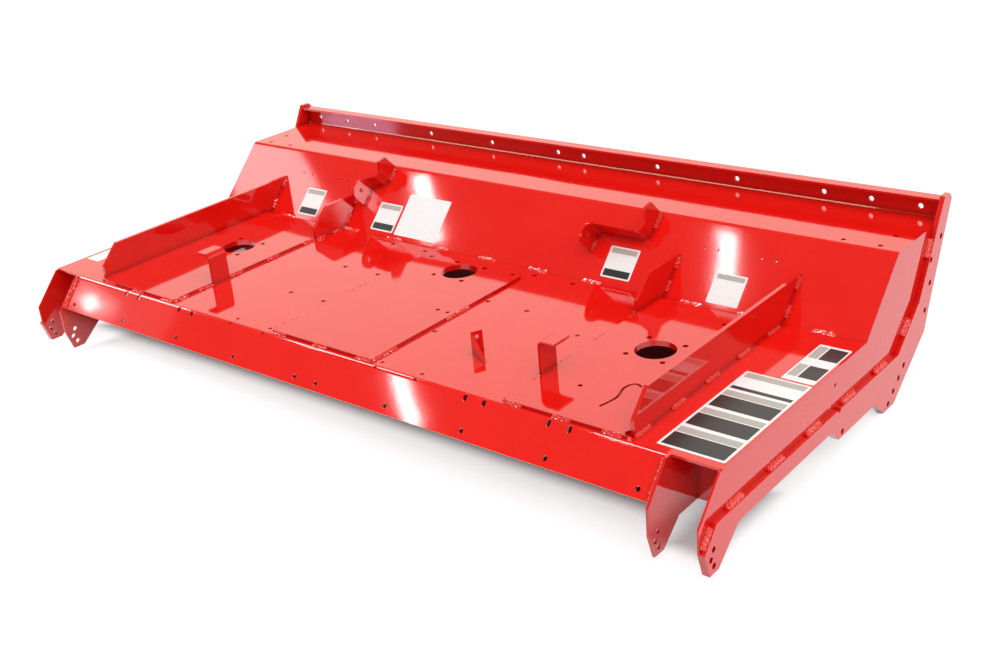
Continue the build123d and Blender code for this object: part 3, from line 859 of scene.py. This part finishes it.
def add_world():
    """White paper that rises behind the object, a dim room above it, and an even matt light."""
    world = bpy.data.worlds.new("studio")
    bpy.context.scene.world = world
    world.use_nodes = True
    tree = world.node_tree
    tree.nodes.clear()
    ray = add(tree, "ShaderNodeLightPath", {})
    way = add(tree, "ShaderNodeTexCoord", {}).outputs["Generated"]
    part = add(tree, "ShaderNodeSeparateXYZ", {"Vector": way})
    height = add(
        tree,
        "ShaderNodeMath",
        {0: part.outputs["Y"], 1: -SWEEP_LEAN, 2: part.outputs["Z"]},
        operation="MULTIPLY_ADD",
    )
    low, high = SWEEP_TOP
    mirrored = add(
        tree,
        "ShaderNodeMapRange",
        {
            "Value": height.outputs[0],
            "From Min": low,
            "From Max": high,
            "To Min": SWEEP_MIRRORED,
            "To Max": ROOM_MIRRORED,
        },
        interpolation_type="SMOOTHSTEP",
    )
    matt = add(
        tree,
        "ShaderNodeMix",
        {"Factor": ray.outputs["Is Glossy Ray"], "A": AMBIENT, "B": mirrored.outputs["Result"]},
    )
    level = add(
        tree,
        "ShaderNodeMix",
        {"Factor": seen_rays(tree, ray), "A": matt.outputs["Result"], "B": WHITE},
    )
    tint = add(
        tree,
        "ShaderNodeMix",
        {"Factor": ray.outputs["Is Glossy Ray"], "A": (1, 1, 1, 1), "B": linear(SWEEP_WHITE)},
        data_type="RGBA",
    )
    white = add(
        tree,
        "ShaderNodeBackground",
        {"Color": tint.outputs["Result"], "Strength": level.outputs["Result"]},
    )
    add(tree, "ShaderNodeOutputWorld", {"Surface": white.outputs["Background"]})


def painted_floor_shadow(tree):
    """A painted shadow on the floor: how open it is to light, from 1 in the open to 0 deep under
    the deck.

    Each shadow is a rectangle whose four sides fade smoothly, so it is the largest of four steps,
    weakened by its depth, and the darkest of the shadows holds.
    """
    place = add(tree, "ShaderNodeTexCoord", {}).outputs["Object"]
    across = add(tree, "ShaderNodeSeparateXYZ", {"Vector": place})
    lit = 1.0
    for along_x, along_y, depth in PAINTED_FLOOR_SHADOWS:
        outside = 0.0
        for axis, (start, full, fading, end) in zip("XY", (along_x, along_y)):
            for clear, dark in ((start, full), (end, fading)):
                fade = add(
                    tree,
                    "ShaderNodeMapRange",
                    {"Value": across.outputs[axis], "From Min": dark, "From Max": clear},
                    interpolation_type="SMOOTHSTEP",
                )
                outside = add(
                    tree,
                    "ShaderNodeMath",
                    {0: fade.outputs["Result"], 1: outside},
                    operation="MAXIMUM",
                ).outputs[0]
        left = add(
            tree,
            "ShaderNodeMath",
            {0: outside, 1: depth, 2: 1 - depth},
            operation="MULTIPLY_ADD",
        )
        lit = add(
            tree, "ShaderNodeMath", {0: left.outputs[0], 1: lit}, operation="MINIMUM"
        ).outputs[0]
    return lit


def add_floor():
    """White paper: matt, so that it keeps the shadow, with a glow for the eye and for mirrors.

    The glow fades where the object closes off the sky, and deep under the deck a painted shadow
    darkens the paper and takes away its glow.
    From below the paper is clear, so that the underside of the deck can be seen.
    """
    material, tree = new_material("white_paper")
    ray = add(tree, "ShaderNodeLightPath", {})
    glow = add(
        tree, "ShaderNodeMath", {0: seen_rays(tree, ray), 1: FLOOR_GLOW}, operation="MULTIPLY"
    )
    glow = add(
        tree,
        "ShaderNodeMath",
        {0: ray.outputs["Is Glossy Ray"], 1: FLOOR_GLOW_MIRRORED, 2: glow.outputs[0]},
        operation="MULTIPLY_ADD",
    )
    open_sky = add(
        tree,
        "ShaderNodeAmbientOcclusion",
        {"Distance": FLOOR_SHADE_REACH},
        samples=FLOOR_SHADE_SAMPLES,
    )
    low, high = FLOOR_SHADE
    shade = add(
        tree,
        "ShaderNodeMapRange",
        {"Value": open_sky.outputs["AO"], "From Min": low, "From Max": high},
        interpolation_type="SMOOTHSTEP",
    )
    # Painted shadow under the deck: it takes away the glow and darkens the paper tone
    lit = painted_floor_shadow(tree)
    open_floor = add(
        tree, "ShaderNodeMath", {0: shade.outputs["Result"], 1: lit}, operation="MULTIPLY"
    )
    strength = add(
        tree,
        "ShaderNodeMath",
        {0: glow.outputs[0], 1: open_floor.outputs[0]},
        operation="MULTIPLY",
    )
    paper_with_painted_shadow = add(
        tree,
        "ShaderNodeMix",
        {"Factor": lit, "A": linear(PAINTED_SHADOW_PAPER), "B": linear(PAPER)},
        data_type="RGBA",
    )
    matt = add(tree, "ShaderNodeBsdfDiffuse", {"Color": paper_with_painted_shadow.outputs["Result"]})
    shine = add(
        tree,
        "ShaderNodeEmission",
        {"Color": (1, 1, 1, 1), "Strength": strength.outputs[0]},
    )
    paper = add(
        tree, "ShaderNodeAddShader", {0: matt.outputs["BSDF"], 1: shine.outputs["Emission"]}
    )
    below = add(tree, "ShaderNodeNewGeometry", {}).outputs["Backfacing"]
    clear = add(tree, "ShaderNodeBsdfTransparent", {})
    sheet = add(
        tree,
        "ShaderNodeMixShader",
        {0: below, 1: paper.outputs["Shader"], 2: clear.outputs["BSDF"]},
    )
    add(tree, "ShaderNodeOutputMaterial", {"Surface": sheet.outputs["Shader"]})
    half = FLOOR_SPAN / 2
    points = np.array([[-half, -half, 0], [half, -half, 0], [half, half, 0], [-half, half, 0]])
    floor = add_piece("floor", points, [[0, 1, 2, 3]], material, False)
    return floor


def add_camera():
    """The photograph's camera: it looks along its bearing and dip, rolled about that line."""
    camera = bpy.data.cameras.new("photograph")
    camera.sensor_width = SENSOR_MM
    camera.lens = FOCAL_PIXELS / PHOTO_WIDTH * SENSOR_MM
    camera.clip_start = CAMERA_NEAR
    camera.clip_end = CAMERA_FAR
    bearing, dip, roll = np.radians([CAMERA_BEARING, CAMERA_DIP, CAMERA_ROLL])
    ahead = np.array(
        [-np.sin(bearing) * np.cos(dip), np.cos(bearing) * np.cos(dip), -np.sin(dip)]
    )
    level = np.cross(ahead, [0, 0, 1])
    level = level / np.linalg.norm(level)
    above = np.cross(level, ahead)
    right = np.cos(roll) * level + np.sin(roll) * above
    up = np.cos(roll) * above - np.sin(roll) * level
    eye = bpy.data.objects.new("photograph", camera)
    put(eye, np.stack([right, up, -ahead], axis=1), CAMERA_PLACE)
    bpy.context.scene.camera = eye


bpy.context.scene.view_settings.view_transform = "Standard"
coat = powder_coat(**PLATE_COAT)
bead_coat = powder_coat(**BEAD_COAT)
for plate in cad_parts.values():
    plate.data.materials.clear()
    plate.data.materials.append(coat)
lit_pieces = dict(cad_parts)
lit_pieces.update({piece.name: piece for piece in add_welds(bead_coat)})
lit_pieces["rail_foot_seam"] = add_seam(coat)
add_labels({ink: vinyl_film(ink + "_vinyl", *look) for ink, look in VINYLS.items()})
add_world()
lit_pieces["floor"] = add_floor()
add_lamps(lit_pieces)
add_camera()
